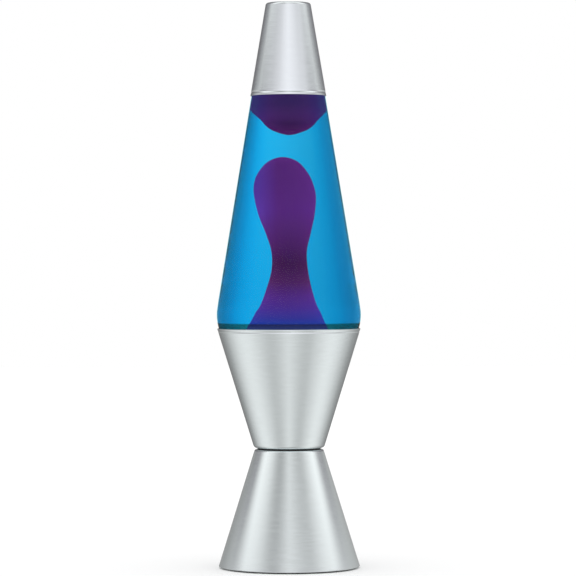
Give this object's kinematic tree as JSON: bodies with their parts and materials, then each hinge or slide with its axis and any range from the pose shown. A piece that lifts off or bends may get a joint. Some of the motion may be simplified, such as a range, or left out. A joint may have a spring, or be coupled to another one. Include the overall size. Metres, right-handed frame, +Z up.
{
  "type": "lava lamp",
  "caption": "Lava lamp with an hourglass base of two spun aluminium cones, a sealed glass bottle of liquid and wax, and a loose conical cap.",
  "frame": {"origin": "on the table, under the middle of the lamp", "axes": "+Z up along the lamp's axis, +Y to the back, where the cord's bush is, +X to the right from the front"},
  "size_m": [0.0941, 0.0942, 0.3683],
  "materials": {
    "spun_aluminium": "fine satin",
    "black_fibre": "matt fibre",
    "zinc_steel": "zinc plated",
    "black_plastic": "moulded, fine texture",
    "black_rubber": "soft rubber",
    "phenolic": "dark brown phenolic",
    "brass": "plain pressed",
    "lead_insulation": "soft insulation",
    "lead_insulation_pale": "soft insulation",
    "splice_nylon": "translucent nylon",
    "bulb_glass": "clear thin glass",
    "bulb_nickel": "nickel plated",
    "bulb_vitrite": "black glass",
    "solder": "solder",
    "tungsten": "lit filament",
    "bottle_glass": "clear polished",
    "wax": "soft translucent wax",
    "coil_steel": "spring wire",
    "blue_liquid": "clear dyed liquid",
    "crown_steel": "tinplate",
    "crown_liner": "soft liner"
  },
  "bodies": {
    "base": {"lower_cone": "spun_aluminium", "upper_cone": "spun_aluminium", "waist_gasket": "black_fibre", "base_ring": "zinc_steel", "base_plate": "black_plastic", "plate_screws": "zinc_steel", "cord_bush": "black_rubber", "lampholder_body": "phenolic", "lampholder_ring_nut": "phenolic", "lampholder_screw_shell": "brass", "lampholder_centre_contact": "brass", "lampholder_rivets": "brass", "lampholder_terminals": "brass", "terminal_screws": "zinc_steel", "lead_live": "lead_insulation", "lead_neutral": "lead_insulation_pale", "splice_cap_live": "splice_nylon", "splice_cap_neutral": "splice_nylon", "rubber_foot_1": "black_rubber", "rubber_foot_2": "black_rubber", "rubber_foot_3": "black_rubber", "rubber_foot_4": "black_rubber"},
    "globe": {"glass_bottle": "bottle_glass", "wax_column": "wax", "wax_float": "wax", "wire_coil": "coil_steel", "lamp_liquid": "blue_liquid", "crown_cap": "crown_steel", "crown_liner": "crown_liner"},
    "cap": {"top_cap": "spun_aluminium"},
    "bulb_carrier": {"bulb_contact": "solder"},
    "bulb": {"bulb_glass": "bulb_glass", "bulb_screw_cap": "bulb_nickel", "bulb_insulator": "bulb_vitrite", "bulb_stem": "bulb_glass", "bulb_support_wires": "bulb_nickel", "bulb_filament": "tungsten"}
  },
  "joints": [
    {"name": "globe_lift", "type": "slide", "parent": "base", "child": "globe", "axis": [0, 0, 1], "range_m": [0, 0.07]},
    {"name": "cap_lift", "type": "slide", "parent": "globe", "child": "cap", "axis": [0, 0, 1], "range_m": [0, 0.06]},
    {"name": "bulb_lift", "type": "slide", "parent": "base", "child": "bulb_carrier", "axis": [0, 0, 1], "range_m": [0, 0.0142]},
    {"name": "bulb_turn", "type": "hinge", "parent": "bulb_carrier", "child": "bulb", "pos_m": [0, 0, 0.072], "axis": [0, 0, 1], "range_deg": [0, 1800]}
  ],
  "couplings": [
    {"joint": "bulb_lift", "follows": "bulb_turn", "m_per_rad": 0.00044913}
  ]
}
